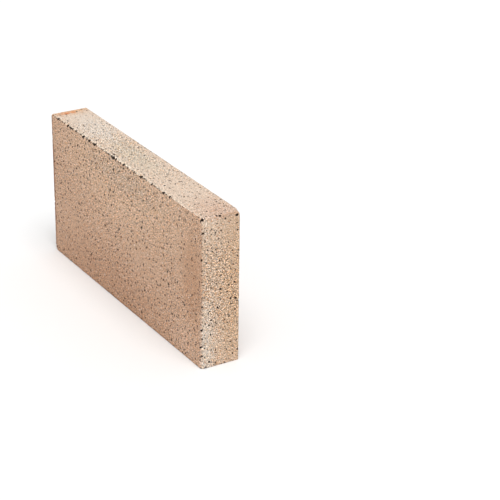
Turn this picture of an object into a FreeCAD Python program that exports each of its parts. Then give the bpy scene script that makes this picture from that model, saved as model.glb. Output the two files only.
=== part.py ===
import FreeCAD, Part
import os

# A straight refractory firebrick of split format, pressed and fired as one piece of dense fireclay.
# It stands on a long edge: length along X, thickness along Y, width along Z.
# The origin is the middle of the edge that it stands on. The face at -Y and the end at +X are the worn ones.

# Driving dimensions, in millimetres
LENGTH = 230.0
THICKNESS = 30.0
WIDTH = 114.0
ARRIS_RADIUS = 0.5
FOOT = 0.0
TOP = WIDTH

# Corners knocked off in handling: signs along X and Y, foot or top, and the set-back along X, Y and Z
KNOCKED_CORNERS = (
    (1, 1, TOP, (6.0, 2.6, 2.4)),
    (-1, -1, TOP, (1.2, 1.2, 1.2)),
    (-1, -1, FOOT, (2.6, 2.0, 2.4)),
)

# The lower stretch of the upright arris between the worn face and the worn end is rubbed back, most at the foot
RUBBED_ARRIS = (1, -1, FOOT, (1.5, 1.5, 82.0))

# The upper corner of that arris has lost one larger grain: span and depth of the bite
CORNER_BITE = (4.6, 2.0)

# Grains broken out of the upper arris of the worn face: place from mid-length, span along the arris, depth
UPPER_ARRIS_BITES = (
    (-104.0, 4.5, 1.2),
    (-87.5, 4.8, 1.3),
    (-79.5, 3.8, 1.1),
    (-61.5, 5.0, 1.3),
    (-51.7, 4.6, 1.4),
    (-42.8, 5.5, 1.4),
    (-13.0, 12.0, 1.9),
    (2.0, 5.0, 1.3),
    (18.0, 4.8, 1.2),
    (28.5, 6.0, 1.4),
    (44.0, 4.4, 1.1),
    (61.5, 5.4, 1.3),
    (70.0, 4.2, 1.1),
)

# Grains broken out of the rubbed upright arris: height, span and depth below the sharp arris
UPRIGHT_ARRIS_BITES = (
    (66.7, 4.0, 1.0),
    (41.7, 4.6, 1.3),
    (30.3, 4.6, 1.4),
    (23.3, 4.4, 1.4),
    (17.0, 4.6, 1.6),
    (9.6, 4.8, 1.7),
)


def pressed_blank():
    """The plain block as it leaves the press mould, standing on its edge."""
    return Part.makeBox(LENGTH, THICKNESS, WIDTH, FreeCAD.Vector(-LENGTH / 2, -THICKNESS / 2, FOOT))


def corner_wedge(sign_x, sign_y, height, set_back):
    """The tetrahedron that is lost where one corner of the block is worn off flat."""
    corner = FreeCAD.Vector(sign_x * LENGTH / 2, sign_y * THICKNESS / 2, height)
    inward_z = -1 if height == TOP else 1
    along_x = corner + FreeCAD.Vector(-sign_x * set_back[0], 0, 0)
    along_y = corner + FreeCAD.Vector(0, -sign_y * set_back[1], 0)
    along_z = corner + FreeCAD.Vector(0, 0, inward_z * set_back[2])
    outlines = (
        (corner, along_x, along_y),
        (corner, along_y, along_z),
        (corner, along_z, along_x),
        (along_x, along_y, along_z),
    )
    faces = [Part.Face(Part.makePolygon([*outline, outline[0]])) for outline in outlines]
    return Part.Solid(Part.Shell(faces))


def bite(point, outward, span, depth):
    """A shallow shell-shaped bite: the ball that crosses the surface over span and sinks in by depth."""
    radius = (span ** 2 / 4 + depth ** 2) / (2 * depth)
    direction = FreeCAD.Vector(*outward).normalize()
    return Part.makeSphere(radius, point + direction * (radius - depth))


def upper_arris_bites():
    """The row of bites along the upper arris of the worn face."""
    return [
        bite(FreeCAD.Vector(place, -THICKNESS / 2, TOP), (0, -1, 1), span, depth)
        for place, span, depth in UPPER_ARRIS_BITES
    ]


def upright_arris_bites():
    """The bites up the arris where the worn face meets the worn end."""
    return [
        bite(FreeCAD.Vector(LENGTH / 2, -THICKNESS / 2, height), (1, -1, 0), span, depth)
        for height, span, depth in UPRIGHT_ARRIS_BITES
    ]


def corner_bite():
    """The grain lost from the upper corner of the worn face and the worn end."""
    return bite(FreeCAD.Vector(LENGTH / 2, -THICKNESS / 2, TOP), (1, -1, 1), *CORNER_BITE)


def firebrick():
    """The whole brick: knocked corners, then the soft arris all round, then the rubbing and the bites."""
    block = pressed_blank().cut([corner_wedge(*knock) for knock in KNOCKED_CORNERS])
    softened = block.makeFillet(ARRIS_RADIUS, block.Edges)
    rubbed = softened.cut(corner_wedge(*RUBBED_ARRIS))
    return rubbed.cut(upper_arris_bites() + upright_arris_bites() + [corner_bite()])


os.makedirs("parts", exist_ok=True)
brick = firebrick()
brick.exportStep("parts/firebrick.step")
box = brick.optimalBoundingBox()
print(f"firebrick: valid {brick.isValid()}, solids {len(brick.Solids)}, volume {brick.Volume / 1000:.1f} cm3")
print(f"box {box.XLength:.2f} x {box.YLength:.2f} x {box.ZLength:.2f} mm, foot at {box.ZMin:.3f}")
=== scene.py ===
"""Looks of a straight refractory firebrick: its worn and speckled body, a pale studio and the camera."""

import logging
import math
from dataclasses import dataclass, field
from enum import Enum, IntEnum
from typing import Any, Optional, Union

import bpy
import numpy as np
from mathutils import Matrix, Vector


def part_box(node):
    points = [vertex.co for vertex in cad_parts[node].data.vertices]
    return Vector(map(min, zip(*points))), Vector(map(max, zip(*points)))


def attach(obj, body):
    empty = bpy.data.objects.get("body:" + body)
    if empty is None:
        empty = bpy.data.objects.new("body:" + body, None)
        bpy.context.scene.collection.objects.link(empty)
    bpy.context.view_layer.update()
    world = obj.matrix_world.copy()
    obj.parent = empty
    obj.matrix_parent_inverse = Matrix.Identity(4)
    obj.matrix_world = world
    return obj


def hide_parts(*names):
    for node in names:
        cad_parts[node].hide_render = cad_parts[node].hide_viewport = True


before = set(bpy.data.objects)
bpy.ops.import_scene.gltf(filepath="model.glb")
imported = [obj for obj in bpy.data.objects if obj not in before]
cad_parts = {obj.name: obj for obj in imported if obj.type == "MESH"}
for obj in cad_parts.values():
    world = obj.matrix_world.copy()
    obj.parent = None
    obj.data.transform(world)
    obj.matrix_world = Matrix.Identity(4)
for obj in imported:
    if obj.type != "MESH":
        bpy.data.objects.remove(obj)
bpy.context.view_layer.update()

log = logging.getLogger("firebrick")

MM = 0.001
MIDDLE_GREY = (0.5, 0.5, 0.5)
DEPTH_NAME = "depth"
RADIUS_NAME = "grain_radius"
Socket = bpy.types.NodeSocket
Feed = Union[Socket, float, int, bool, str, tuple]
Colour = tuple[float, float, float, float]
Triple = tuple[float, float, float]


def seen(red: float, green: float, blue: float) -> Colour:
    """Turns a colour as a screen shows it, 0 to 255, into the linear colour that a shader takes."""
    parts = [value / 255 for value in (red, green, blue)]
    return (*[p / 12.92 if p <= 0.04045 else ((p + 0.055) / 1.055) ** 2.4 for p in parts], 1.0)


class NodeGraph:
    """Adds the nodes of one tree and links them."""

    def __init__(self, tree: bpy.types.NodeTree) -> None:
        """Starts on a tree that exists."""
        self.tree = tree

    def add(
        self, kind: str, inputs: Optional[dict[Union[str, int], Feed]] = None, **settings: Any
    ) -> bpy.types.Node:
        """Adds one node.

        Args:
            kind: Blender's type name of the node.
            inputs: what feeds its inputs, by name or by place.
            settings: properties of the node itself.

        Returns:
            The new node.
        """
        node = self.tree.nodes.new(kind)
        for name, value in settings.items():
            setattr(node, name, value)
        for key, value in (inputs or {}).items():
            self.feed(node.inputs[key], value)
        return node

    def feed(self, socket: Socket, value: Feed) -> None:
        """Links an input to an output, or sets it to a constant.

        Args:
            socket: the input.
            value: the output that feeds it, or the constant.
        """
        if isinstance(value, Socket):
            self.tree.links.new(value, socket)
        else:
            socket.default_value = value

    def math(self, operation: str, *values: Feed) -> Socket:
        """Adds a Math node and returns its result."""
        return self.add("ShaderNodeMath", dict(enumerate(values)), operation=operation).outputs[0]

    def product(self, first: Feed, *others: Feed) -> Socket:
        """Multiplies any number of values.

        Args:
            first: the first value.
            others: what it is multiplied by.

        Returns:
            The product.
        """
        result = first
        for other in others:
            result = self.math("MULTIPLY", result, other)
        return result

    def vector(self, operation: str, *values: Feed) -> Socket:
        """Adds a Vector Math node and returns its vector."""
        node = self.add("ShaderNodeVectorMath", dict(enumerate(values)), operation=operation)
        return node.outputs["Vector"]

    def scaled(self, vector: Feed, factor: Feed) -> Socket:
        """Multiplies a vector by a number."""
        node = self.add("ShaderNodeVectorMath", {0: vector, "Scale": factor}, operation="SCALE")
        return node.outputs["Vector"]

    def length(self, vector: Feed) -> Socket:
        """Measures a vector."""
        return self.add("ShaderNodeVectorMath", {0: vector}, operation="LENGTH").outputs["Value"]

    def evenly(self, value: Feed) -> Socket:
        """Makes a vector of three equal numbers."""
        return self.add("ShaderNodeCombineXYZ", dict.fromkeys(range(3), value)).outputs[0]

    def split(self, vector: Feed) -> tuple[Socket, Socket, Socket]:
        """Takes a vector apart into X, Y and Z."""
        node = self.add("ShaderNodeSeparateXYZ", {0: vector})
        return node.outputs[0], node.outputs[1], node.outputs[2]

    def ramp(self, value: Feed, start: Feed, end: Feed, low: Feed = 0.0, high: Feed = 1.0) -> Socket:
        """Turns a value smoothly from low at start to high at end.

        Args:
            value: the value to read.
            start: where the turn begins.
            end: where it is complete, above or below start.
            low: result before start.
            high: result past end.

        Returns:
            The smooth result.
        """
        inputs = {"Value": value, "From Min": start, "From Max": end, "To Min": low, "To Max": high}
        return self.add("ShaderNodeMapRange", inputs, interpolation_type="SMOOTHSTEP").outputs["Result"]

    def mix(self, factor: Feed, first: Feed, second: Feed, blend: str = "MIX") -> Socket:
        """Mixes two colours.

        Args:
            factor: how much of the second colour shows, 0 to 1.
            first: the colour below.
            second: the colour laid on it.
            blend: the way in which it is laid on.

        Returns:
            The mixed colour.
        """
        inputs = {0: factor, 6: first, 7: second}
        return self.add("ShaderNodeMix", inputs, data_type="RGBA", blend_type=blend).outputs[2]

    def pick(self, choice: Feed, first: Feed, second: Feed) -> Socket:
        """Chooses between two vectors.

        Args:
            choice: 0 takes the first vector and 1 the second.
            first: the first vector.
            second: the second vector.

        Returns:
            The chosen vector.
        """
        inputs = {0: choice, 4: first, 5: second}
        return self.add("ShaderNodeMix", inputs, data_type="VECTOR").outputs[1]

    def gradient(self, value: Feed, stops: tuple[tuple[float, Colour], ...]) -> Socket:
        """Turns a value into a colour.

        Args:
            value: the value to read, 0 to 1.
            stops: colours in rising order, each with the value that it stands at.

        Returns:
            The colour.
        """
        node = self.add("ShaderNodeValToRGB", {0: value})
        band = node.color_ramp.elements
        for _ in stops[2:]:
            band.new(1.0)
        for element, (place, colour) in zip(band, stops):
            element.position, element.color = place, colour
        return node.outputs["Color"]

    def noise(
        self, where: Feed, scale: Feed, detail: float = 2.0, roughness: float = 0.5
    ) -> bpy.types.Node:
        """Adds a Noise Texture, with scale in waves per metre."""
        inputs = {"Vector": where, "Scale": scale, "Detail": detail, "Roughness": roughness}
        return self.add("ShaderNodeTexNoise", inputs)


def crooked_cells(graph: NodeGraph, where: Feed, scale: Feed) -> tuple[Socket, Socket, Socket]:
    """Cuts a flat face into uneven grains.

    Args:
        graph: graph to add to.
        where: place to read, by its X and Y alone.
        scale: grains along a metre.

    Returns:
        How far the place lies from its grain's middle, in grains, and two random numbers of that grain.
    """
    waves_per_grain, bend_in_grains = 1.7, 0.55
    bend = graph.noise(where, graph.math("MULTIPLY", scale, waves_per_grain), detail=1.0)
    shift = graph.vector("SUBTRACT", bend.outputs["Color"], MIDDLE_GREY)
    bent = graph.vector("ADD", where, graph.scaled(shift, graph.math("DIVIDE", bend_in_grains, scale)))
    cells = graph.add("ShaderNodeTexVoronoi", {"Vector": bent, "Scale": scale}, voronoi_dimensions="2D")
    draw, tone, _ = graph.split(cells.outputs["Color"])
    return cells.outputs["Distance"], draw, tone


def new_group(name: str, inputs: dict[str, str], outputs: dict[str, str]) -> bpy.types.NodeTree:
    """Makes an empty shader node group with named sockets.

    Args:
        name: name of the group.
        inputs: kind of each input by its name: Float, Vector or Color.
        outputs: kind of each output by its name.

    Returns:
        The tree of the group.
    """
    tree = bpy.data.node_groups.new(name, "ShaderNodeTree")
    for way, sockets in (("INPUT", inputs), ("OUTPUT", outputs)):
        for socket, kind in sockets.items():
            tree.interface.new_socket(socket, in_out=way, socket_type=f"NodeSocket{kind}")
    return tree


class FaceSense:
    """Tells the faces of the brick apart in a material, by which one a point lies nearest to."""

    BLUR = 0.3 * MM

    def __init__(self, graph: NodeGraph, where: Socket, size: Vector) -> None:
        """Measures how far a point lies from each kind of face.

        Args:
            graph: graph of the material.
            where: object coordinates.
            size: length, thickness and width of the brick.
        """
        self.graph = graph
        self.middle = graph.vector("SUBTRACT", where, (0.0, 0.0, size.z / 2))
        away = graph.vector("ABSOLUTE", self.middle)
        from_end, from_bed, from_edge = graph.split(graph.vector("SUBTRACT", tuple(size / 2), away))
        self.past_bed = graph.math("SUBTRACT", from_bed, from_end)
        self.past_both = graph.math("SUBTRACT", graph.math("MINIMUM", from_bed, from_end), from_edge)
        self.on_end = graph.ramp(self.past_bed, -self.BLUR, self.BLUR)
        self.on_edge = graph.ramp(self.past_both, -self.BLUR, self.BLUR)

    def each(self, values: Triple) -> Socket:
        """Gives each kind of face its own value.

        Args:
            values: value on the large faces, the ends and the edge faces.

        Returns:
            The value at the place.
        """
        on_bed, at_end, at_edge = values
        mixed = self.graph.ramp(self.on_end, 0.0, 1.0, on_bed, at_end)
        return self.graph.ramp(self.on_edge, 0.0, 1.0, mixed, at_edge)

    def flat(self) -> Socket:
        """Lays the six faces out flat, each on its own ground.

        Returns:
            Coordinates that run across each face in X and Y.
        """
        graph = self.graph
        to_either_side, to_next_pair = 0.5, 2.0
        x, y, z = graph.split(self.middle)
        grounds = []
        for pair, (across, up, out) in enumerate(((x, z, y), (y, z, x), (x, y, z))):
            side = graph.math("MULTIPLY_ADD", graph.math("SIGN", out), to_either_side, to_next_pair * pair)
            shifted = {0: graph.math("ADD", across, side), 1: up}
            grounds.append(graph.add("ShaderNodeCombineXYZ", shifted).outputs[0])
        bed_or_end = graph.pick(graph.math("GREATER_THAN", self.past_bed, 0.0), grounds[0], grounds[1])
        return graph.pick(graph.math("GREATER_THAN", self.past_both, 0.0), bed_or_end, grounds[2])


@dataclass(frozen=True)
class GrainMix:
    """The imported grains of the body: each is one cell of a mosaic, with its own tint of the clay.

    Args:
        name: name of its node group.
        per_metre: grains along a metre.
        rim: how much darker a grain is at its rim than in the mean, and paler in its middle.
        mottle: how strongly the clay between them varies from spot to spot.
        tints: the tints from dark to pale, each with the share of grains that are darker.
        hues: the hues from cool to warm, each with the share of grains that are cooler.
    """

    name: str
    per_metre: float
    rim: float
    mottle: float
    tints: tuple[tuple[float, Colour], ...]
    hues: tuple[tuple[float, Colour], ...]

    def group(self) -> bpy.types.NodeTree:
        """Builds the node group that tints the grains.

        Returns:
            The group: a tint to multiply the clay by, and the height of the grain.
        """
        tree = new_group(self.name, {"Vector": "Vector"}, {"Tint": "Color", "Height": "Float"})
        graph = NodeGraph(tree)
        where = graph.add("NodeGroupInput").outputs["Vector"]
        distance, draw, tone = crooked_cells(graph, where, self.per_metre)
        tint = graph.mix(1.0, graph.gradient(draw, self.tints), graph.gradient(tone, self.hues), "MULTIPLY")
        rim_at, crown_at = 0.62, 0.12
        dome = graph.ramp(distance, rim_at, crown_at)
        shade = graph.math("MULTIPLY_ADD", dome, 2 * self.rim, 1 - self.rim)
        spots = graph.noise(where, self.per_metre, detail=1.0).outputs["Fac"]
        mottled = graph.math("MULTIPLY_ADD", spots, self.mottle, 1 - self.mottle / 2)
        shaded = graph.scaled(tint, graph.product(shade, mottled))
        graph.add("NodeGroupOutput", {"Tint": shaded, "Height": dome})
        return tree


@dataclass(frozen=True)
class GrainBed:
    """One kind of grain that lies scattered evenly over the faces.

    Args:
        per_metre: cells along a metre.
        share: part of the cells that hold such a grain.
        girth: radius of the largest grain, as a part of its cell.
        least: size of the smallest grain, as a part of the largest.
        softness: how much of the radius its rim takes.
        colour: colour of the grain.
        cover: how strongly it covers the clay of the large faces, the ends and the edge faces.
    """

    per_metre: float
    share: float
    girth: float
    least: float
    softness: float
    colour: Colour
    cover: Triple

    @staticmethod
    def group() -> bpy.types.NodeTree:
        """Builds the node group that masks one kind of grain.

        Returns:
            The group: its mask is 1 in a grain.
        """
        name = "grain bed"
        if name in bpy.data.node_groups:
            return bpy.data.node_groups[name]
        inputs = {"Vector": "Vector", **dict.fromkeys(("Scale", "Share", "Girth", "Rim", "Least"), "Float")}
        tree = new_group(name, inputs, {"Mask": "Float"})
        graph = NodeGraph(tree)
        given = graph.add("NodeGroupInput").outputs
        distance, draw, tone = crooked_cells(graph, given["Vector"], given["Scale"])
        held = graph.math("LESS_THAN", draw, given["Share"])
        stretched = graph.math("DIVIDE", distance, graph.ramp(tone, 0.0, 1.0, given["Least"], 1.0))
        inside = graph.ramp(stretched, given["Girth"], given["Rim"])
        graph.add("NodeGroupOutput", {"Mask": graph.math("MULTIPLY", held, inside)})
        return tree

    def place(self, graph: NodeGraph, where: Socket, coarse: Socket, plenty: Socket) -> Socket:
        """Places the bed in a material.

        Args:
            graph: graph of the material.
            where: flat coordinates on each face.
            coarse: size of the grains on this face, as a part of their size in the bed.
            plenty: part of the grains that show at this place.

        Returns:
            The mask of its grains.
        """
        inputs = {
            "Vector": where,
            "Scale": self.per_metre,
            "Share": graph.product(plenty, self.share),
            "Girth": graph.product(coarse, self.girth),
            "Rim": graph.product(coarse, self.girth * (1 - self.softness)),
            "Least": self.least,
        }
        return graph.add("ShaderNodeGroup", inputs, node_tree=self.group()).outputs["Mask"]


@dataclass(frozen=True)
class Patch:
    """An area of the skin that fades out raggedly.

    Args:
        centre: middle of the patch, in millimetres.
        reach: how far it goes along X, Y and Z, in millimetres.
        patchy: how far the patch breaks up; 0 leaves it whole.
    """

    centre: Triple
    reach: Triple
    patchy: float

    @staticmethod
    def group() -> bpy.types.NodeTree:
        """Builds the node group that masks one patch.

        Returns:
            The group: its mask is 1 in the middle of the patch and fades out raggedly.
        """
        name = "ragged patch"
        if name in bpy.data.node_groups:
            return bpy.data.node_groups[name]
        inputs = {"Vector": "Vector", "Centre": "Vector", "Reach": "Vector", "Patchy": "Float"}
        tree = new_group(name, inputs, {"Mask": "Float"})
        graph = NodeGraph(tree)
        given = graph.add("NodeGroupInput").outputs
        away = graph.vector("SUBTRACT", given["Vector"], given["Centre"])
        distance = graph.length(graph.vector("DIVIDE", away, given["Reach"]))
        rags_per_metre, whole_within = 210.0, 0.2
        rags = graph.noise(given["Vector"], rags_per_metre, detail=5.0, roughness=0.68).outputs["Fac"]
        torn = graph.math("MULTIPLY", graph.math("SUBTRACT", rags, 0.5), given["Patchy"])
        mask = graph.ramp(graph.math("ADD", distance, torn), 1.0, whole_within)
        graph.add("NodeGroupOutput", {"Mask": mask})
        return tree

    def mask(self, graph: NodeGraph, where: Socket) -> Socket:
        """Masks the patch in a material.

        Args:
            graph: graph of the material.
            where: object coordinates.

        Returns:
            The mask.
        """
        centre, reach = (tuple(value * MM for value in triple) for triple in (self.centre, self.reach))
        inputs = {"Vector": where, "Centre": centre, "Reach": reach, "Patchy": self.patchy}
        return graph.add("ShaderNodeGroup", inputs, node_tree=self.group()).outputs["Mask"]


@dataclass(frozen=True)
class StainOrPaintedLight(Patch):
    """A patch where the clay is tinted. Some are kiln marks, smudges or a paler skin; others are painted
    light and painted shade.

    Args:
        tint: what the colour of the clay is multiplied by.
    """

    tint: Colour

    def lay(self, graph: NodeGraph, where: Socket, colour: Socket) -> Socket:
        """Tints the colour of the clay where the patch lies."""
        return graph.mix(self.mask(graph, where), colour, self.tint, "MULTIPLY")


@dataclass(frozen=True)
class SkinPatch(Patch):
    """A patch where the pressed skin is more open or more closed, so that more or fewer grains show.

    Args:
        plenty: grains that show in its middle, as a share of those that show elsewhere.
    """

    plenty: float

    def thin(self, graph: NodeGraph, where: Socket, so_far: Feed) -> Socket:
        """Changes the share of grains that show."""
        return graph.product(graph.ramp(self.mask(graph, where), 0.0, 1.0, 1.0, self.plenty), so_far)


@dataclass(frozen=True)
class Fireclay:
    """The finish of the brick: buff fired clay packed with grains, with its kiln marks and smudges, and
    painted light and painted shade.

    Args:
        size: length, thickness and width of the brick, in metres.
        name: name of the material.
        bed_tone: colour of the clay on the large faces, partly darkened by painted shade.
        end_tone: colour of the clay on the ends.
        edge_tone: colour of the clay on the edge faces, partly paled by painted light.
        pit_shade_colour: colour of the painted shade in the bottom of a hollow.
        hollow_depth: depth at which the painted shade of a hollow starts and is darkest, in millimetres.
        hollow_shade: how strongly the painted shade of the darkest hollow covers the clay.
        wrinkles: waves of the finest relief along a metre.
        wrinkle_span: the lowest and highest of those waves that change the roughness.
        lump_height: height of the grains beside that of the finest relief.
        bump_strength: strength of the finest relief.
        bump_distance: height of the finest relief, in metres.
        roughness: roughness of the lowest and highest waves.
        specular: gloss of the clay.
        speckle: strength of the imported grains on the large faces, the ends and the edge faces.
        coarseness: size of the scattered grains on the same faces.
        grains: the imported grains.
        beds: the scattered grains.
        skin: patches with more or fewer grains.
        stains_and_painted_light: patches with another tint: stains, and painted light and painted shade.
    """

    size: Vector
    name: str = "fireclay"
    bed_tone: Colour = seen(203, 168, 142)
    end_tone: Colour = seen(206, 180, 157)
    edge_tone: Colour = seen(215, 194, 175)
    pit_shade_colour: Colour = seen(34, 24, 20)
    hollow_depth: tuple[float, float] = (0.06, 0.3)
    hollow_shade: float = 0.94
    wrinkles: float = 1900.0
    wrinkle_span: tuple[float, float] = (0.3, 0.7)
    lump_height: float = 0.35
    bump_strength: float = 0.5
    bump_distance: float = 0.2 * MM
    roughness: tuple[float, float] = (0.82, 0.98)
    specular: float = 0.25
    speckle: Triple = (0.7, 0.72, 0.65)
    coarseness: Triple = (1.05, 0.88, 0.95)
    grains: GrainMix = GrainMix(
        name="packed grains",
        per_metre=1200.0,
        rim=0.26,
        mottle=4.2,
        tints=(
            (0.0, (0.64, 0.60, 0.56, 1.0)),
            (0.2, (0.87, 0.85, 0.83, 1.0)),
            (0.5, (1.0, 1.0, 1.0, 1.0)),
            (0.8, (1.13, 1.14, 1.16, 1.0)),
            (1.0, (1.28, 1.31, 1.35, 1.0)),
        ),
        hues=(
            (0.0, (0.94, 1.0, 1.08, 1.0)),
            (0.35, (1.0, 1.0, 1.0, 1.0)),
            (0.7, (1.0, 1.0, 0.98, 1.0)),
            (0.9, (1.06, 0.97, 0.84, 1.0)),
            (1.0, (1.14, 0.90, 0.66, 1.0)),
        ),
    )
    # Pale, ochre, dark and iron grains, in the order of the fields of a grain bed
    beds: tuple[GrainBed, ...] = (
        GrainBed(360.0, 1.0, 0.22, 0.4, 0.25, seen(255, 250, 242), (0.4, 0.5, 0.4)),
        GrainBed(330.0, 1.0, 0.18, 0.4, 0.35, seen(186, 112, 62), (0.6, 0.8, 0.6)),
        GrainBed(360.0, 0.8, 0.17, 0.4, 0.15, seen(40, 28, 22), (1.0, 1.0, 0.9)),
        GrainBed(200.0, 0.85, 0.145, 0.65, 0.05, seen(6, 4, 4), (1.0, 1.0, 0.95)),
    )
    # Patches of the worn face, then of the upper edge, then of the worn end
    skin: tuple[SkinPatch, ...] = (
        SkinPatch((-5.0, -15.0, 102.0), (85.0, 4.0, 26.0), 0.8, 1.45),
        SkinPatch((-85.0, -15.0, 22.0), (55.0, 4.0, 42.0), 0.6, 0.7),
        SkinPatch((98.0, -15.0, 74.0), (34.0, 4.0, 34.0), 0.6, 0.6),
        SkinPatch((35.0, -15.0, 48.0), (55.0, 4.0, 24.0), 0.6, 0.75),
        SkinPatch((-30.0, 0.0, 114.0), (48.0, 24.0, 4.0), 0.6, 1.5),
        SkinPatch((-105.0, 2.0, 114.0), (36.0, 24.0, 4.0), 0.6, 0.5),
        SkinPatch((70.0, 0.0, 114.0), (48.0, 24.0, 4.0), 0.6, 0.6),
        SkinPatch((115.0, 0.0, 62.0), (4.0, 24.0, 44.0), 0.6, 1.5),
        SkinPatch((115.0, 3.0, 108.0), (4.0, 22.0, 26.0), 0.6, 0.7),
    )
    # Patches of the worn face and its arrises: painted light towards its top, painted shade towards its
    # foot and along its left, upper and upright arrises, and stains; then stains of the worn end, then of
    # the upper edge
    stains_and_painted_light: tuple[StainOrPaintedLight, ...] = (
        # Painted light: the worn face paler and cooler towards its top, as if lit from above.
        StainOrPaintedLight((0.0, -15.0, 118.0), (150.0, 4.0, 82.0), 0.3, (1.17, 1.24, 1.26, 1.0)),
        # Painted shade: the worn face darker and warmer towards its foot.
        StainOrPaintedLight((-30.0, -15.0, -5.0), (160.0, 4.0, 60.0), 0.3, (0.85, 0.79, 0.75, 1.0)),
        StainOrPaintedLight((0.0, -15.0, 102.0), (70.0, 4.0, 16.0), 1.2, (0.90, 0.94, 0.98, 1.0)),
        StainOrPaintedLight((103.0, -15.0, 66.0), (24.0, 4.0, 52.0), 0.8, (0.90, 0.83, 0.77, 1.0)),
        StainOrPaintedLight((88.0, -15.0, 12.0), (30.0, 4.0, 22.0), 0.8, (1.05, 1.08, 1.12, 1.0)),
        # Painted shade: a dark line down the left upright arris of the worn face, where the rounded arris
        # turns from the light.
        StainOrPaintedLight((-115.0, -15.0, 57.0), (4.0, 3.0, 95.0), 0.8, (0.42, 0.28, 0.21, 1.0)),
        # A darker line along the foot arris of the worn face.
        StainOrPaintedLight((0.0, -15.0, 0.0), (140.0, 1.8, 2.0), 1.0, (0.72, 0.58, 0.50, 1.0)),
        # Painted shade: a dark broken line in the nibbled upper arris of the worn face, where its chips are
        # shaded.
        StainOrPaintedLight((-25.0, -15.5, 114.4), (110.0, 1.7, 1.7), 2.6, (0.34, 0.31, 0.32, 1.0)),
        # Painted shade: a dark broken line in the nibbled upright arris of the worn face, where its chips
        # are shaded.
        StainOrPaintedLight((115.5, -15.6, 44.0), (1.6, 1.6, 80.0), 2.6, (0.60, 0.54, 0.52, 1.0)),
        StainOrPaintedLight((115.0, -14.0, 14.0), (4.0, 13.0, 58.0), 0.6, (1.08, 1.22, 1.37, 1.0)),
        StainOrPaintedLight((115.0, -10.0, 114.0), (4.0, 12.0, 24.0), 0.8, (1.08, 1.12, 1.16, 1.0)),
        StainOrPaintedLight((115.0, 12.0, 58.0), (4.0, 18.0, 92.0), 0.6, (0.95, 0.89, 0.81, 1.0)),
        StainOrPaintedLight((-72.0, 2.0, 114.0), (48.0, 20.0, 4.0), 0.6, (1.02, 1.11, 1.19, 1.0)),
        StainOrPaintedLight((-5.0, 0.0, 114.0), (55.0, 16.0, 4.0), 1.2, (0.92, 0.97, 0.97, 1.0)),
        StainOrPaintedLight((115.0, 2.0, 114.0), (46.0, 24.0, 4.0), 0.8, (0.93, 0.84, 0.81, 1.0)),
        StainOrPaintedLight((-116.0, 0.0, 114.0), (14.0, 22.0, 6.0), 1.4, (0.98, 0.76, 0.57, 1.0)),
        StainOrPaintedLight((-110.4, -4.0, 114.4), (3.4, 9.0, 1.6), 2.6, (0.94, 0.52, 0.33, 1.0)),
    )

    def make(self) -> bpy.types.Material:
        """Builds the material.

        Returns:
            The material of the brick.
        """
        material = bpy.data.materials.new(self.name)
        material.use_nodes = True
        material.node_tree.nodes.clear()
        graph = NodeGraph(material.node_tree)
        where = graph.add("ShaderNodeTexCoord").outputs["Object"]
        sides = FaceSense(graph, where, self.size)
        # The face tones are partly the clay's own and partly painted light: paler edge faces, darker large
        # faces.
        clay = graph.mix(sides.on_end, self.bed_tone, self.end_tone)
        colour = graph.mix(sides.on_edge, clay, self.edge_tone)
        for stain_or_painted_light in self.stains_and_painted_light:
            colour = stain_or_painted_light.lay(graph, where, colour)
        colour, lumps = self.add_grains(graph, where, sides, colour)
        # Painted shade in the hollows: the deeper a point lies below the skin, the darker it is painted.
        depth = graph.add("ShaderNodeAttribute", attribute_name=DEPTH_NAME).outputs["Fac"]
        hollow = graph.ramp(depth, *self.hollow_depth, 0.0, self.hollow_shade)
        colour = graph.mix(hollow, colour, self.pit_shade_colour)
        wrinkle = graph.noise(where, self.wrinkles, detail=4.0, roughness=0.65).outputs["Fac"]
        height = graph.math("MULTIPLY_ADD", lumps, self.lump_height, wrinkle)
        bump = {"Strength": self.bump_strength, "Distance": self.bump_distance, "Height": height}
        shader = graph.add(
            "ShaderNodeBsdfPrincipled",
            {
                "Base Color": colour,
                "Roughness": graph.ramp(wrinkle, *self.wrinkle_span, *self.roughness),
                "Specular IOR Level": self.specular,
                "Normal": graph.add("ShaderNodeBump", bump).outputs[0],
            },
        )
        graph.add("ShaderNodeOutputMaterial", {"Surface": shader.outputs[0]})
        return material

    def add_grains(
        self, graph: NodeGraph, where: Socket, sides: FaceSense, colour: Socket
    ) -> tuple[Socket, Socket]:
        """Tints every packed grain and scatters the pale, ochre, dark and iron grains.

        Args:
            graph: graph of the material.
            where: object coordinates.
            sides: the faces of the brick.
            colour: colour of the clay.

        Returns:
            The speckled colour, and the height that the grains give the surface.
        """
        flat = sides.flat()
        packed = graph.add("ShaderNodeGroup", {"Vector": flat}, node_tree=self.grains.group())
        plenty = 1.0
        for patch in self.skin:
            plenty = patch.thin(graph, where, plenty)
        strength = graph.product(plenty, sides.each(self.speckle))
        colour = graph.mix(strength, colour, packed.outputs["Tint"], "MULTIPLY")
        coarse = sides.each(self.coarseness)
        for bed in self.beds:
            cover = graph.product(bed.place(graph, flat, coarse, plenty), sides.each(bed.cover))
            colour = graph.mix(cover, colour, bed.colour)
        return colour, packed.outputs["Height"]


@dataclass(frozen=True)
class Bite:
    """A kind of small hollow that a lost grain leaves.

    Args:
        smallest: radius of the smallest hollow, in metres.
        largest: radius of the largest hollow.
        rarity: power that makes large hollows rare; 1 makes every size as common.
        proud: how far the middle of the hollow stands out of the surface, as a share of its radius.
    """

    smallest: float
    largest: float
    rarity: float
    proud: float


@dataclass(frozen=True)
class LostGrain:
    """One larger grain that the photograph shows missing.

    Args:
        x: its place along the length, in millimetres.
        y: its place through the thickness.
        z: its height.
        radius: its radius.
    """

    x: float
    y: float
    z: float
    radius: float


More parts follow.
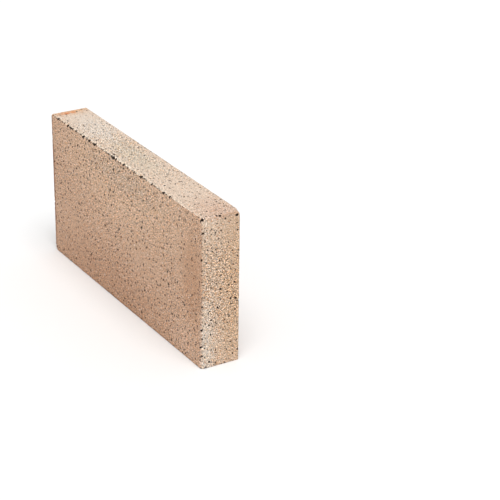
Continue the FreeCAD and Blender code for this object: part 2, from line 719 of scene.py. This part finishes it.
class Salt(IntEnum):
    """What is added to the seed, so that each kind of hollow draws its own numbers."""

    PIT = 100
    NIBBLE = 200
    NIBBLE_CHOICE = 300
    NIBBLE_SCATTER = 310
    LOST_GRAIN = 400


class Side(Enum):
    """The six faces of the brick.

    Each gives the axis that it is square to, its sign there, and the axes that run right and up it.
    """

    WORN_BED = (1, -1, (0, 1), (2, 1))
    PLAIN_BED = (1, 1, (0, -1), (2, 1))
    UPPER_EDGE = (2, 1, (0, 1), (1, 1))
    STANDING_EDGE = (2, -1, (0, 1), (1, -1))
    WORN_END = (0, 1, (1, 1), (2, 1))
    PLAIN_END = (0, -1, (1, -1), (2, 1))


class BodyGraph(NodeGraph):
    """Grows the brick in a tree of Geometry Nodes."""

    def __init__(self, brick: "Firebrick", inputs: dict[str, str]) -> None:
        """Starts a new tree.

        Args:
            brick: the brick to grow.
            inputs: kind of each input of the tree by its name.
        """
        super().__init__(bpy.data.node_groups.new("firebrick body", "GeometryNodeTree"))
        self.brick = brick
        sockets = self.tree.interface
        sockets.new_socket("Geometry", in_out="OUTPUT", socket_type="NodeSocketGeometry")
        self.identifiers = {
            name: sockets.new_socket(name, in_out="INPUT", socket_type=f"NodeSocket{kind}").identifier
            for name, kind in inputs.items()
        }
        self.given = self.add("NodeGroupInput").outputs

    def build(self) -> None:
        """Adds all nodes, from the plain block to the finished brick."""
        block = self.add_relief(self.add_block())
        cutters = self.add("GeometryNodeJoinGeometry")
        for balls in (self.add_pits(block), self.add_nibbles(), self.add_lost_grains()):
            self.feed(cutters.inputs[0], balls)
        cut = {"Mesh 1": block, "Mesh 2": self.roughen_cutters(cutters.outputs[0])}
        bitten = self.add("GeometryNodeMeshBoolean", cut, operation="DIFFERENCE", solver="MANIFOLD")
        shaded = self.add_shading(block, bitten.outputs["Mesh"])
        realized = self.add("GeometryNodeRealizeInstances", {"Geometry": shaded}).outputs[0]
        finish = {"Geometry": realized, "Material": self.given["Finish"]}
        finished = self.add("GeometryNodeSetMaterial", finish).outputs[0]
        self.add("NodeGroupOutput", {"Geometry": finished})

    def here(self) -> Socket:
        """Gives the place of each point."""
        return self.add("GeometryNodeInputPosition").outputs[0]

    def from_centre(self) -> Socket:
        """Gives the place of each point from the block's middle."""
        return self.vector("SUBTRACT", self.here(), self.given["Centre"])

    def geometry_of(self, name: str) -> Socket:
        """Takes the geometry of an object that the tree is given."""
        source = {"Object": self.given[name]}
        return self.add("GeometryNodeObjectInfo", source, transform_space="RELATIVE").outputs["Geometry"]

    def moved(self, geometry: Socket, way: str, vector: Socket) -> Socket:
        """Moves the points of a geometry.

        Args:
            geometry: what is moved.
            way: Offset to move by the vector, or Position to move to it.
            vector: how far, or where to.

        Returns:
            The moved geometry.
        """
        return self.add("GeometryNodeSetPosition", {"Geometry": geometry, way: vector}).outputs[0]

    def random(self, low: float, high: float, salt: int) -> Socket:
        """Draws a random number for each point.

        Args:
            low: least number.
            high: greatest number.
            salt: added to the seed.

        Returns:
            The number.
        """
        seed = self.math("ADD", self.given["Seed"], float(salt))
        return self.add("FunctionNodeRandomValue", {2: low, 3: high, 8: seed}, data_type="FLOAT").outputs[1]

    def random_vector(self, low: float, high: float, salt: int) -> Socket:
        """Draws three random numbers for each point.

        Args:
            low: least number.
            high: greatest number.
            salt: added to the seed for the first number, and one more for each of the others.

        Returns:
            The numbers, as a vector.
        """
        draws = {axis: self.random(low, high, salt + axis) for axis in range(3)}
        return self.add("ShaderNodeCombineXYZ", draws).outputs[0]

    def outward(self, place: Socket) -> Socket:
        """Finds which way is out of the block: square to a face, and slanted within the arris zone.

        Args:
            place: a place on the block, from the block's middle.

        Returns:
            The unit vector that points out.
        """
        half = self.scaled(self.given["Size"], 0.5)
        core = self.vector("SUBTRACT", half, self.evenly(self.given["Arris Zone"]))
        inside = self.vector("MAXIMUM", self.vector("MINIMUM", place, core), self.scaled(core, -1.0))
        return self.vector("NORMALIZE", self.vector("SUBTRACT", place, inside))

    def on_solid(self, place: Socket) -> Socket:
        """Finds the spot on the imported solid's surface that lies straight in from a place near it.

        Args:
            place: a place near the surface, from the block's middle.

        Returns:
            The spot.
        """
        out = self.outward(place)
        stand_off = 10 * MM
        start = self.vector("ADD", place, self.given["Centre"])
        ray = {
            "Target Geometry": self.geometry_of("Solid"),
            "Source Position": self.vector("ADD", start, self.scaled(out, stand_off)),
            "Ray Direction": self.scaled(out, -1.0),
            "Ray Length": 2 * stand_off,
        }
        return self.add("GeometryNodeRaycast", ray).outputs["Hit Position"]

    def add_block(self) -> Socket:
        """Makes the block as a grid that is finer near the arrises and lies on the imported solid.

        Returns:
            The block's geometry.
        """
        size = self.given["Size"]
        zone = self.evenly(self.given["Arris Zone"])
        wide = self.vector("ADD", size, zone)
        spans = [self.math("DIVIDE", extent, self.given["Cell"]) for extent in self.split(wide)]
        counts = [self.math("CEIL", span) for span in spans]
        grid = self.add("GeometryNodeMeshCube", {"Size": wide, **dict(enumerate(counts, 1))})
        start = self.here()
        depth = self.vector("SUBTRACT", self.scaled(wide, 0.5), self.vector("ABSOLUTE", start))
        near = self.vector("MINIMUM", depth, zone)
        squeezed = self.vector("DIVIDE", self.vector("MULTIPLY", near, near), self.scaled(zone, 2.0))
        inset = self.vector("ADD", squeezed, self.vector("SUBTRACT", depth, near))
        reach = self.vector("SUBTRACT", self.scaled(size, 0.5), inset)
        place = self.vector("MULTIPLY", self.vector("SIGN", start), reach)
        return self.moved(grid.outputs["Mesh"], "Position", self.on_solid(place))

    def add_relief(self, block: Socket) -> Socket:
        """Presses the rough skin of fired clay into the block, inwards only.

        Args:
            block: geometry of the plain block.

        Returns:
            The rough block.
        """
        grain_waves, sweep_waves = 620.0, 34.0
        grain_part, sweep_part = 0.7, 0.3
        at_skin, at_bottom = 0.7, 0.3
        here = self.here()
        grain = self.noise(here, grain_waves, detail=3.0, roughness=0.6).outputs["Fac"]
        sweep = self.noise(here, sweep_waves).outputs["Fac"]
        height = self.math("MULTIPLY_ADD", grain, grain_part, self.math("MULTIPLY", sweep, sweep_part))
        sunk = self.ramp(height, at_skin, at_bottom, 0.0, -1.0)
        out = self.outward(self.from_centre())
        inward = self.scaled(out, self.math("MULTIPLY", sunk, self.given["Relief Depth"]))
        return self.moved(block, "Offset", inward)

    def bite_radius(self, bite: Bite, salt: int) -> Socket:
        """Draws the radius of each hollow, small ones more often than large ones.

        Args:
            bite: kind of hollow.
            salt: added to the seed.

        Returns:
            The radius.
        """
        chance = self.math("POWER", self.random(0.0, 1.0, salt), bite.rarity)
        return self.math("MULTIPLY_ADD", chance, bite.largest - bite.smallest, bite.smallest)

    def add_cutters(self, points: Socket, radius: Socket, proud: float, salt: int) -> Socket:
        """Puts a small uneven ball on every point.

        Args:
            points: where the hollows go.
            radius: radius of each.
            proud: how far the ball's middle stands out, as a share of its radius.
            salt: added to the seed, so that each kind draws its own numbers.

        Returns:
            The balls, as one mesh.
        """
        out = self.outward(self.from_centre())
        lift = self.scaled(out, self.math("MULTIPLY", radius, proud))
        ball = self.add("GeometryNodeMeshIcoSphere", {"Radius": 1.0, "Subdivisions": 2})
        thinnest, fattest = 0.75, 1.2
        turn_salt, girth_salt = salt + 1, salt + 4
        turn = self.random_vector(0.0, math.tau, turn_salt)
        girth = self.random_vector(thinnest, fattest, girth_salt)
        placing = {
            "Points": self.moved(points, "Offset", lift),
            "Instance": ball.outputs["Mesh"],
            "Rotation": self.add("FunctionNodeEulerToRotation", {0: turn}).outputs[0],
            "Scale": self.scaled(girth, radius),
        }
        placed = self.add("GeometryNodeInstanceOnPoints", placing).outputs[0]
        return self.add("GeometryNodeRealizeInstances", {"Geometry": placed}).outputs[0]

    def add_pits(self, block: Socket) -> Socket:
        """Scatters the pits of lost grains over the faces.

        Args:
            block: geometry of the block.

        Returns:
            The balls that cut the pits.
        """
        pit = self.brick.pit
        spread = {
            "Mesh": block,
            "Distance Min": self.given["Pit Spacing"],
            "Density Max": self.given["Pit Density"],
            "Seed": self.given["Seed"],
        }
        points = self.add("GeometryNodeDistributePointsOnFaces", spread, distribute_method="POISSON")
        radius = self.bite_radius(pit, Salt.PIT)
        return self.add_cutters(points.outputs["Points"], radius, pit.proud, Salt.PIT)

    def add_nibbles(self) -> Socket:
        """Breaks small grains out along the arrises, most of all on the worn ones.

        Returns:
            The balls that cut the nibbles.
        """
        given, nibble = self.given, self.brick.nibble
        cage = self.add("GeometryNodeMeshCube", {"Size": given["Size"]}).outputs["Mesh"]
        arrises = self.add("GeometryNodeMeshToCurve", {"Mesh": self.moved(cage, "Offset", given["Centre"])})
        stepping = {"Curve": arrises.outputs[0], "Length": given["Nibble Step"]}
        steps = self.add("GeometryNodeCurveToPoints", stepping, mode="LENGTH").outputs["Points"]
        from_centre = self.from_centre()
        x, y, z = self.split(self.vector("DIVIDE", from_centre, given["Size"]))
        near_rim, upper_stop, upright_stop = 0.49, 0.32, 0.25
        before_stop = self.math("LESS_THAN", x, upper_stop)
        upper = self.product(self.math("GREATER_THAN", z, near_rim), before_stop)
        below_stop = self.math("LESS_THAN", z, upright_stop)
        upright = self.product(self.math("GREATER_THAN", x, near_rim), below_stop)
        on_face = self.math("LESS_THAN", y, -near_rim)
        wear = self.math("MAXIMUM", upper, self.math("MULTIPLY", upright, given["Upright Wear"]))
        worn = self.math("MULTIPLY", on_face, wear)
        share = self.ramp(worn, 0.0, 1.0, given["Plain Share"], given["Worn Share"])
        drawn = self.random(0.0, 1.0, Salt.NIBBLE_CHOICE)
        chosen = {"Geometry": steps, "Selection": self.math("LESS_THAN", drawn, share)}
        kept = self.add("GeometryNodeSeparateGeometry", chosen, domain="POINT").outputs["Selection"]
        way = self.random_vector(-1.0, 1.0, Salt.NIBBLE_SCATTER)
        scatter = self.scaled(way, given["Nibble Scatter"])
        spot = self.on_solid(self.vector("ADD", from_centre, scatter))
        radius = self.bite_radius(nibble, Salt.NIBBLE)
        return self.add_cutters(self.moved(kept, "Position", spot), radius, nibble.proud, Salt.NIBBLE)

    def add_lost_grains(self) -> Socket:
        """Breaks out the larger grains that the photograph shows missing.

        Returns:
            The balls that cut their hollows.
        """
        points = self.add("GeometryNodeMeshToPoints", {"Mesh": self.geometry_of("Lost Grains")}).outputs[0]
        laid = self.moved(points, "Position", self.on_solid(self.from_centre()))
        radius = self.add("GeometryNodeInputNamedAttribute", {"Name": RADIUS_NAME}, data_type="FLOAT")
        return self.add_cutters(laid, radius.outputs[0], self.brick.pit.proud, Salt.LOST_GRAIN)

    def roughen_cutters(self, cutters: Socket) -> Socket:
        """Makes the balls angular, so that no two hollows have one shape.

        Args:
            cutters: the balls, as one mesh.

        Returns:
            The angular balls, each on its own, so that balls that overlap cut cleanly.
        """
        lumps_per_metre, lump_reach = 900.0, 0.7 * MM
        lumps = self.noise(self.here(), lumps_per_metre, detail=1.0).outputs["Color"]
        shift = self.scaled(self.vector("SUBTRACT", lumps, MIDDLE_GREY), lump_reach)
        ball = self.add("GeometryNodeInputMeshIsland").outputs["Island Index"]
        apart = {"Geometry": self.moved(cutters, "Offset", shift), "Group ID": ball}
        return self.add("GeometryNodeSplitToInstances", apart, domain="FACE").outputs["Instances"]

    def add_shading(self, block: Socket, body: Socket) -> Socket:
        """Shades the faces smooth, keeps the rims of hollows sharp and stores how deep each point lies.

        Args:
            block: geometry of the block before its hollows.
            body: geometry of the bitten block.

        Returns:
            The shaded body, with its depth below the block's skin, in millimetres, on every point.
        """
        whole = {"Geometry": body, "Shade Smooth": True}
        smooth = self.add("GeometryNodeSetShadeSmooth", whole, domain="FACE").outputs[0]
        angle = self.add("GeometryNodeInputMeshEdgeAngle").outputs["Unsigned Angle"]
        soft = self.math("LESS_THAN", angle, math.radians(self.brick.crease_angle))
        rims = {"Geometry": smooth, "Shade Smooth": soft}
        creased = self.add("GeometryNodeSetShadeSmooth", rims, domain="EDGE").outputs[0]
        # This depth feeds the material's painted shade in the hollows.
        skin = self.add("GeometryNodeProximity", {"Geometry": block}, target_element="FACES")
        depth = self.math("DIVIDE", skin.outputs["Distance"], MM)
        record = {"Geometry": creased, "Name": DEPTH_NAME, "Value": depth}
        stored = self.add("GeometryNodeStoreNamedAttribute", record, data_type="FLOAT", domain="POINT")
        return stored.outputs[0]


@dataclass
class Firebrick:
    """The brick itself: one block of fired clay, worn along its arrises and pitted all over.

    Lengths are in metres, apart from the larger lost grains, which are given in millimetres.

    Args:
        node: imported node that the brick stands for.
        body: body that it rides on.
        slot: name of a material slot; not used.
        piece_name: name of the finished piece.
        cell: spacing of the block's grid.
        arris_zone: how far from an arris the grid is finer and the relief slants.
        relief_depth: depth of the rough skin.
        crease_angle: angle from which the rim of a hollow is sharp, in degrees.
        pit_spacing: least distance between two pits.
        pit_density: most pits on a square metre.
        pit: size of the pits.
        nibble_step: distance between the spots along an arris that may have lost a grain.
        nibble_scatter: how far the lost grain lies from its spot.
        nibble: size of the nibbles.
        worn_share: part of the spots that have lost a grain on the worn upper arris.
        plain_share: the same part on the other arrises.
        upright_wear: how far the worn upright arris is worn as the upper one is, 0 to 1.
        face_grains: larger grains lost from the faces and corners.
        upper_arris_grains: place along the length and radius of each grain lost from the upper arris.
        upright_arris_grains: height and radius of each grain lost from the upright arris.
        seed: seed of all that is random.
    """

    node: str = "firebrick"
    body: str = "root"
    slot: str = "fireclay"
    piece_name: str = "fired_brick"
    cell: float = 1.2 * MM
    arris_zone: float = 4.0 * MM
    relief_depth: float = 0.2 * MM
    crease_angle: float = 38.0
    pit_spacing: float = 3.0 * MM
    pit_density: float = 9000.0
    pit: Bite = Bite(0.5 * MM, 1.0 * MM, 1.8, 0.1)
    nibble_step: float = 1.7 * MM
    nibble_scatter: float = 0.7 * MM
    nibble: Bite = Bite(0.5 * MM, 1.15 * MM, 1.5, 0.0)
    worn_share: float = 0.65
    plain_share: float = 0.14
    upright_wear: float = 0.4
    face_grains: tuple[LostGrain, ...] = (
        LostGrain(115.0, -0.1, 58.6, 1.15),
        LostGrain(115.0, -7.3, 36.7, 0.9),
        LostGrain(115.0, 3.4, 110.6, 0.85),
        LostGrain(115.0, -6.5, 66.0, 0.7),
        LostGrain(115.0, -2.7, 89.8, 0.65),
        LostGrain(115.0, -3.6, 12.5, 0.7),
        LostGrain(115.0, -3.7, 2.4, 0.7),
        LostGrain(115.0, -0.6, 114.0, 1.5),
        LostGrain(115.0, 12.6, 111.3, 1.2),
        LostGrain(114.6, -14.6, 113.6, 1.25),
        LostGrain(106.7, -15.0, 67.6, 0.85),
        LostGrain(112.1, -15.0, 64.6, 0.7),
        LostGrain(103.0, -15.0, 53.0, 0.7),
        LostGrain(-102.2, -15.0, 42.3, 0.8),
        LostGrain(31.0, 10.5, 114.0, 0.85),
        LostGrain(82.0, -8.7, 114.0, 0.65),
    )
    upper_arris_grains: tuple[tuple[float, float], ...] = (
        (-104.0, 1.21),
        (-87.5, 1.4),
        (-79.5, 1.12),
        (-61.5, 1.31),
        (-51.7, 1.4),
        (-42.8, 1.5),
        (-14.5, 1.87),
        (-10.5, 1.5),
        (2.0, 1.31),
        (18.0, 1.21),
        (28.5, 1.5),
        (44.0, 1.12),
        (61.5, 1.31),
        (70.0, 1.03),
        (-96.4, 0.85),
        (-73.0, 0.85),
        (-66.2, 0.95),
        (-55.2, 1.05),
        (-29.7, 0.9),
        (-20.0, 1.1),
        (8.4, 0.9),
        (21.5, 0.95),
        (37.3, 0.85),
        (53.6, 0.85),
        (65.5, 0.95),
    )
    upright_arris_grains: tuple[tuple[float, float], ...] = (
        (66.7, 0.55),
        (41.7, 0.6),
        (30.3, 0.6),
        (23.3, 0.75),
        (17.0, 0.7),
        (9.6, 0.8),
    )
    seed: int = 7

    def __post_init__(self) -> None:
        """Takes the size and place of the brick from the frame."""
        low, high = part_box(self.node)
        self.size = high - low
        self.centre = (high + low) / 2

    def inputs(self, grains: bpy.types.Object, finish: bpy.types.Material) -> dict[str, tuple[str, Any]]:
        """Lists what the tree that grows the brick is given.

        Args:
            grains: the points of the larger lost grains.
            finish: material of the whole brick.

        Returns:
            Kind and value of each input by its name.
        """
        return {
            "Solid": ("Object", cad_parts[self.node]),
            "Lost Grains": ("Object", grains),
            "Size": ("Vector", self.size),
            "Centre": ("Vector", self.centre),
            "Cell": ("Float", self.cell),
            "Arris Zone": ("Float", self.arris_zone),
            "Relief Depth": ("Float", self.relief_depth),
            "Pit Spacing": ("Float", self.pit_spacing),
            "Pit Density": ("Float", self.pit_density),
            "Nibble Step": ("Float", self.nibble_step),
            "Nibble Scatter": ("Float", self.nibble_scatter),
            "Worn Share": ("Float", self.worn_share),
            "Plain Share": ("Float", self.plain_share),
            "Upright Wear": ("Float", self.upright_wear),
            "Seed": ("Int", self.seed),
            "Finish": ("Material", finish),
        }

    def grow(self, finish: bpy.types.Material) -> bpy.types.Object:
        """Grows the brick and makes it a plain mesh at the origin.

        Args:
            finish: material of the whole brick.

        Returns:
            The finished piece.
        """
        grains = self.list_lost_grains()
        inputs = self.inputs(grains, finish)
        body = BodyGraph(self, {name: kind for name, (kind, _) in inputs.items()})
        body.build()
        seedling = bpy.data.objects.new("brick_seedling", bpy.data.meshes.new("brick_seedling"))
        bpy.context.scene.collection.objects.link(seedling)
        modifier = seedling.modifiers.new("body", "NODES")
        modifier.node_group = body.tree
        for name, (_, value) in inputs.items():
            modifier[body.identifiers[name]] = value
        depsgraph = bpy.context.evaluated_depsgraph_get()
        mesh = bpy.data.meshes.new_from_object(seedling.evaluated_get(depsgraph), depsgraph=depsgraph)
        bpy.data.objects.remove(seedling)
        bpy.data.objects.remove(grains)
        mesh.name = self.piece_name
        mesh.materials.clear()
        mesh.materials.append(finish)
        self.unwrap(mesh)
        piece = bpy.data.objects.new(self.piece_name, mesh)
        bpy.context.scene.collection.objects.link(piece)
        return piece

    def lost_grains(self) -> list[LostGrain]:
        """Places the larger lost grains, on the faces and along the two worn arrises.

        Returns:
            The grains.
        """
        worn_end, worn_face, top = self.size.x / 2 / MM, -self.size.y / 2 / MM, self.size.z / MM
        upper = [LostGrain(x, worn_face, top, radius) for x, radius in self.upper_arris_grains]
        upright = [LostGrain(worn_end, worn_face, z, radius) for z, radius in self.upright_arris_grains]
        return [*self.face_grains, *upper, *upright]

    def list_lost_grains(self) -> bpy.types.Object:
        """Lists the larger lost grains as the points of a mesh.

        Returns:
            The object that holds the points, each with its radius.
        """
        grains = self.lost_grains()
        mesh = bpy.data.meshes.new("lost_grains")
        mesh.from_pydata([(grain.x * MM, grain.y * MM, grain.z * MM) for grain in grains], [], [])
        radii = mesh.attributes.new(RADIUS_NAME, "FLOAT", "POINT")
        radii.data.foreach_set("value", [grain.radius * MM for grain in grains])
        holder = bpy.data.objects.new("lost_grains", mesh)
        bpy.context.scene.collection.objects.link(holder)
        return holder

    def unwrap(self, mesh: bpy.types.Mesh) -> None:
        """Lays the six faces out flat, side by side on one square sheet.

        Args:
            mesh: the brick's mesh, which gets the map.
        """
        middles = np.zeros(len(mesh.polygons) * 3)
        mesh.polygons.foreach_get("center", middles)
        places = np.zeros(len(mesh.vertices) * 3)
        mesh.vertices.foreach_get("co", places)
        corners = np.zeros(len(mesh.loops), dtype=np.int64)
        mesh.loops.foreach_get("vertex_index", corners)
        totals = np.zeros(len(mesh.polygons), dtype=np.int64)
        mesh.polygons.foreach_get("loop_total", totals)
        half = np.array(self.size) / 2
        middles = middles.reshape(-1, 3) - np.array(self.centre)
        places = places.reshape(-1, 3) - np.array(self.centre)
        sides = list(Side)
        inset = np.stack([half[s.value[0]] - s.value[1] * middles[:, s.value[0]] for s in sides], 1)
        owner = np.repeat(inset.argmin(1), totals)
        gap = 4 * MM
        length, thickness, width = self.size
        rows = {
            Side.WORN_BED: (gap, gap),
            Side.PLAIN_BED: (gap, 2 * gap + width),
            Side.UPPER_EDGE: (gap, 3 * gap + 2 * width),
            Side.STANDING_EDGE: (gap, 4 * gap + 2 * width + thickness),
            Side.WORN_END: (2 * gap + length, gap),
            Side.PLAIN_END: (2 * gap + length, 2 * gap + width),
        }
        sheet = 5 * gap + 2 * width + 2 * thickness
        flat = np.zeros((len(corners), 2))
        for index, side in enumerate(sides):
            mine = owner == index
            spots = places[corners[mine]]
            for column, (axis, sign) in enumerate(side.value[2:]):
                flat[mine, column] = sign * spots[:, axis] + half[axis] + rows[side][column]
        mesh.uv_layers.new(name="OFBake").data.foreach_set("uv", (flat / sheet).ravel())

    def fasten(self, piece: bpy.types.Object) -> None:
        """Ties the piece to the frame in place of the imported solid.

        Args:
            piece: the finished brick.
        """
        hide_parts(self.node)
        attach(piece, self.body)


@dataclass
class Studio:
    """A pale floor under soft light, white to the camera.

    Args:
        floor_half: half the width of the floor, in metres.
        floor_colour: colour of the floor.
        sky_level: strength of the even light from all round.
        key_level: strength of the lamp.
        key_angle: breadth of the lamp, in degrees.
        key_way: the way from the brick to the lamp.
    """

    floor_half: float = 8.0
    floor_colour: Colour = (0.9, 0.9, 0.9, 1.0)
    sky_level: float = 0.62
    key_level: float = 1.9
    key_angle: float = 40.0
    key_way: Vector = field(default_factory=lambda: Vector((0.58, -0.2, 1.39)))

    def build(self) -> None:
        """Makes the floor, the sky and the lamp."""
        self.add_floor()
        self.add_sky()
        self.add_key()

    def add_floor(self) -> None:
        """Lays the floor at the foot of the brick."""
        reach = self.floor_half
        mesh = bpy.data.meshes.new("studio_floor")
        corners = [(-reach, -reach, 0.0), (reach, -reach, 0.0), (reach, reach, 0.0), (-reach, reach, 0.0)]
        mesh.from_pydata(corners, [], [(0, 1, 2, 3)])
        paint = bpy.data.materials.new("studio_floor")
        paint.use_nodes = True
        shader = paint.node_tree.nodes["Principled BSDF"]
        shader.inputs["Base Color"].default_value = self.floor_colour
        shader.inputs["Roughness"].default_value = 1.0
        shader.inputs["Specular IOR Level"].default_value = 0.0
        mesh.materials.append(paint)
        floor = bpy.data.objects.new("studio_floor", mesh)
        bpy.context.scene.collection.objects.link(floor)

    def add_sky(self) -> None:
        """Surrounds the brick with even light, and shows white where the camera or a reflection sees it."""
        world = bpy.data.worlds.new("studio_sky")
        world.use_nodes = True
        world.node_tree.nodes.clear()
        graph = NodeGraph(world.node_tree)
        rays = graph.add("ShaderNodeLightPath").outputs
        shown = graph.math("MAXIMUM", rays["Is Camera Ray"], rays["Is Glossy Ray"])
        shown = graph.math("MAXIMUM", shown, rays["Is Transmission Ray"])
        level = graph.ramp(shown, 0.0, 1.0, self.sky_level, 1.0)
        sky = graph.add("ShaderNodeBackground", {"Color": (1.0, 1.0, 1.0, 1.0), "Strength": level})
        graph.add("ShaderNodeOutputWorld", {"Surface": sky.outputs[0]})
        bpy.context.scene.world = world

    def add_key(self) -> None:
        """Hangs one broad, far lamp above the worn end."""
        lamp = bpy.data.lights.new("studio_key", "SUN")
        lamp.energy = self.key_level
        lamp.angle = math.radians(self.key_angle)
        holder = bpy.data.objects.new("studio_key", lamp)
        holder.location = self.key_way
        holder.rotation_euler = (-self.key_way).to_track_quat("-Z", "Y").to_euler()
        bpy.context.scene.collection.objects.link(holder)


@dataclass
class PhotoCamera:
    """The camera where the photograph was taken from.

    Args:
        place: its place, in metres.
        heading: its turn about the upright axis, in degrees.
        tilt_down: how far it looks down, in degrees.
        roll: how far it leans, in degrees.
        lens: its focal length, in millimetres.
        sensor: width of its sensor, in millimetres.
    """

    place: Vector = field(default_factory=lambda: Vector((1.0391, -0.5516, 0.5873)))
    heading: float = 58.12
    tilt_down: float = 24.875
    roll: float = 0.841
    lens: float = 126.42
    sensor: float = 36.0

    def build(self) -> None:
        """Makes the camera and gives it to the scene."""
        data = bpy.data.cameras.new("photo_camera")
        data.sensor_width = self.sensor
        data.lens = self.lens
        camera = bpy.data.objects.new("photo_camera", data)
        turn = Matrix.Rotation(math.radians(self.heading), 4, "Z")
        nod = Matrix.Rotation(math.radians(90 - self.tilt_down), 4, "X")
        lean = Matrix.Rotation(math.radians(self.roll), 4, "Z")
        camera.matrix_world = Matrix.Translation(self.place) @ turn @ nod @ lean
        bpy.context.scene.collection.objects.link(camera)
        bpy.context.scene.camera = camera


def main() -> None:
    """Builds the brick, the studio and the camera in order."""
    logging.basicConfig(level=logging.INFO, format="%(name)s: %(message)s")
    bpy.context.scene.view_settings.view_transform = "Standard"
    brick = Firebrick()
    piece = brick.grow(Fireclay(brick.size).make())
    brick.fasten(piece)
    piece.data.calc_loop_triangles()
    log.info("%s: %d triangles", piece.name, len(piece.data.loop_triangles))
    Studio().build()
    PhotoCamera().build()


if __name__ == "__main__":
    main()
